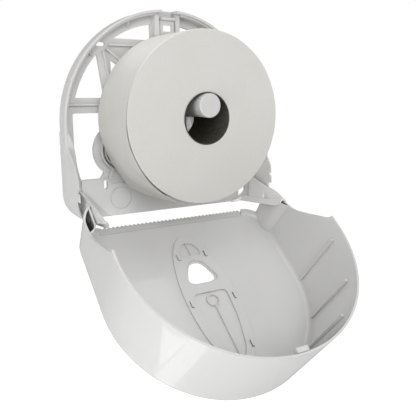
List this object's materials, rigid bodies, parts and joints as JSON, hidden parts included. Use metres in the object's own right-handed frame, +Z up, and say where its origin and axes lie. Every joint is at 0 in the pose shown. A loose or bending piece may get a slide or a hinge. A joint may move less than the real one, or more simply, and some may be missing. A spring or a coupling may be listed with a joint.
{
  "type": "jumbo toilet roll dispenser",
  "caption": "Wall-held dispenser for a jumbo toilet roll: a lattice plate with a spindle, and a deep hinged cover that swings down for loading.",
  "frame": {"origin": "on the wall plane, at the centre of the plate's arched top", "axes": "+X to the right seen from the room, +Y into the wall, so the object stands towards -Y, +Z up"},
  "size_m": [0.287, 0.2961, 0.4197],
  "materials": {
    "plate_plastic": "fine satin",
    "cover_plastic": "gloss outside",
    "insert_plastic": "gloss",
    "fitting_plastic": "satin",
    "dark_plastic": "matte",
    "core_card": "matte",
    "paper_white": "soft matte"
  },
  "bodies": {
    "base": {"back_plate": "plate_plastic", "plate_rim": "plate_plastic", "ear_left": "plate_plastic", "ear_right": "plate_plastic", "arm_left": "plate_plastic", "arm_right": "plate_plastic", "latch_tower": "plate_plastic", "hub_pad": "dark_plastic", "spindle": "fitting_plastic", "hinge_pin_left": "fitting_plastic", "hinge_pin_right": "fitting_plastic"},
    "latch": {"latch_tongue": "fitting_plastic"},
    "cover": {"cover_shell": "cover_plastic", "cover_ribs": "cover_plastic", "tear_edge": "fitting_plastic", "lock_catch": "cover_plastic", "window_insert": "insert_plastic"},
    "roll": {"roll_core": "core_card", "paper_roll": "paper_white", "paper_tail": "paper_white"}
  },
  "joints": [
    {"name": "cover_hinge", "type": "hinge", "parent": "base", "child": "cover", "pos_m": [0, -0.0643, -0.1016], "axis": [1, 0, 0], "range_deg": [-127, 0]},
    {"name": "roll_spin", "type": "hinge", "parent": "base", "child": "roll", "pos_m": [0.0075, -0.0578, 0.0089], "axis": [0, 1, 0], "continuous": true},
    {"name": "latch_press", "type": "hinge", "parent": "base", "child": "latch", "pos_m": [0, -0.0038, 0.1018], "axis": [1, 0, 0], "range_deg": [-4, 0], "stiffness_Nm_per_rad": 0.3}
  ]
}
